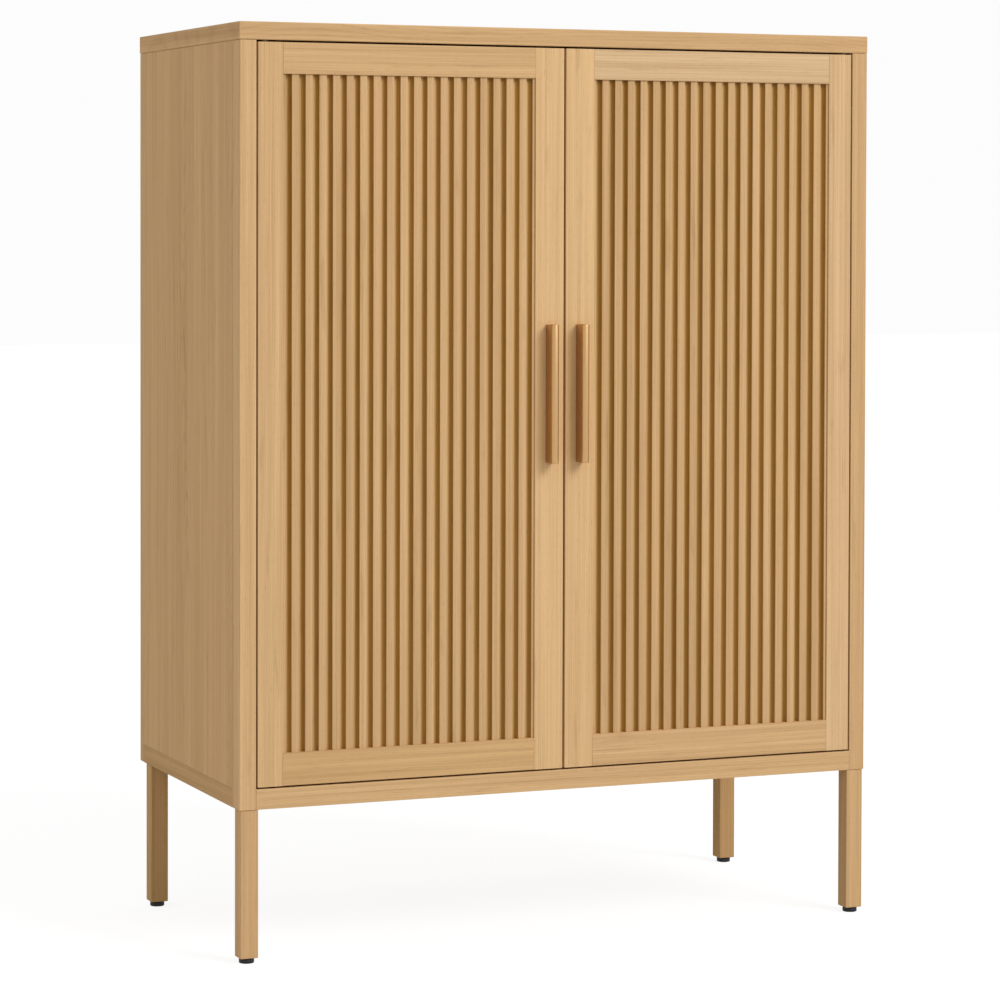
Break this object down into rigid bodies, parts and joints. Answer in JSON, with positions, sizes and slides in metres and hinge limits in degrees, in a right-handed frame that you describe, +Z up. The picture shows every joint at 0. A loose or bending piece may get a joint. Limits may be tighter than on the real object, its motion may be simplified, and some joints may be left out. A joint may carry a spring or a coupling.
{
  "type": "two-door oak cupboard",
  "caption": "Tall oak cupboard on square legs, with fluted framed doors on pivots, solid bar handles and adjustable shelves.",
  "frame": {"origin": "on the floor, in the middle of the object's box in plan", "axes": "+Z up, -Y the way the doors face, +X to the right of someone who looks at the doors"},
  "size_m": [0.9, 0.463, 1.2],
  "materials": {
    "oak": "natural oak, clear satin lacquer",
    "black_plastic": "black moulded plastic, matt",
    "brushed_brass": "darkened brass, brushed along the bar, satin",
    "brass": "turned, plain",
    "steel": "zinc plated, satin"
  },
  "bodies": {
    "carcass": {"back_panel": "oak", "floor_panel": "oak", "front_bottom_rail": "oak", "left_bottom_rail": "oak", "left_front_leg": "oak", "left_front_post": "oak", "left_lower_pivot_bush": "brass", "left_magnetic_catch": "black_plastic", "left_rear_leg": "oak", "left_rear_stile": "oak", "left_side_panel": "oak", "left_upper_pivot_bush": "brass", "rear_bottom_rail": "oak", "rear_top_rail": "oak", "right_bottom_rail": "oak", "right_front_leg": "oak", "right_front_post": "oak", "right_lower_pivot_bush": "brass", "right_magnetic_catch": "black_plastic", "right_rear_leg": "oak", "right_rear_stile": "oak", "right_side_panel": "oak", "right_upper_pivot_bush": "brass", "shelf_1": "oak", "shelf_1_left_front_pin": "steel", "shelf_1_left_rear_pin": "steel", "shelf_1_right_front_pin": "steel", "shelf_1_right_rear_pin": "steel", "shelf_2": "oak", "shelf_2_left_front_pin": "steel", "shelf_2_left_rear_pin": "steel", "shelf_2_right_front_pin": "steel", "shelf_2_right_rear_pin": "steel", "top_panel": "oak"},
    "left_door": {"left_door_bottom_rail": "oak", "left_door_fluted_panel": "oak", "left_door_handle": "brushed_brass", "left_door_hinge_stile": "oak", "left_door_lower_pin": "brass", "left_door_meeting_stile": "oak", "left_door_strike_plate": "steel", "left_door_top_rail": "oak", "left_door_upper_pin": "brass"},
    "right_door": {"right_door_bottom_rail": "oak", "right_door_fluted_panel": "oak", "right_door_handle": "brushed_brass", "right_door_hinge_stile": "oak", "right_door_lower_pin": "brass", "right_door_meeting_stile": "oak", "right_door_strike_plate": "steel", "right_door_top_rail": "oak", "right_door_upper_pin": "brass"},
    "left_front_foot": {"left_front_foot": "black_plastic", "left_front_foot_stem": "steel"},
    "left_rear_foot": {"left_rear_foot": "black_plastic", "left_rear_foot_stem": "steel"},
    "right_front_foot": {"right_front_foot": "black_plastic", "right_front_foot_stem": "steel"},
    "right_rear_foot": {"right_rear_foot": "black_plastic", "right_rear_foot_stem": "steel"}
  },
  "joints": [
    {"name": "left_door_hinge", "type": "hinge", "parent": "carcass", "child": "left_door", "pos_m": [-0.4148, -0.2025, 0.2254], "axis": [0, 0, -1], "range_deg": [0, 110]},
    {"name": "right_door_hinge", "type": "hinge", "parent": "carcass", "child": "right_door", "pos_m": [0.4148, -0.2025, 0.2254], "axis": [0, 0, 1], "range_deg": [0, 110]},
    {"name": "left_front_foot_screw", "type": "slide", "parent": "carcass", "child": "left_front_foot", "axis": [0, 0, -1], "range_m": [0, 0.01]},
    {"name": "left_rear_foot_screw", "type": "slide", "parent": "carcass", "child": "left_rear_foot", "axis": [0, 0, -1], "range_m": [0, 0.01]},
    {"name": "right_front_foot_screw", "type": "slide", "parent": "carcass", "child": "right_front_foot", "axis": [0, 0, -1], "range_m": [0, 0.01]},
    {"name": "right_rear_foot_screw", "type": "slide", "parent": "carcass", "child": "right_rear_foot", "axis": [0, 0, -1], "range_m": [0, 0.01]}
  ]
}
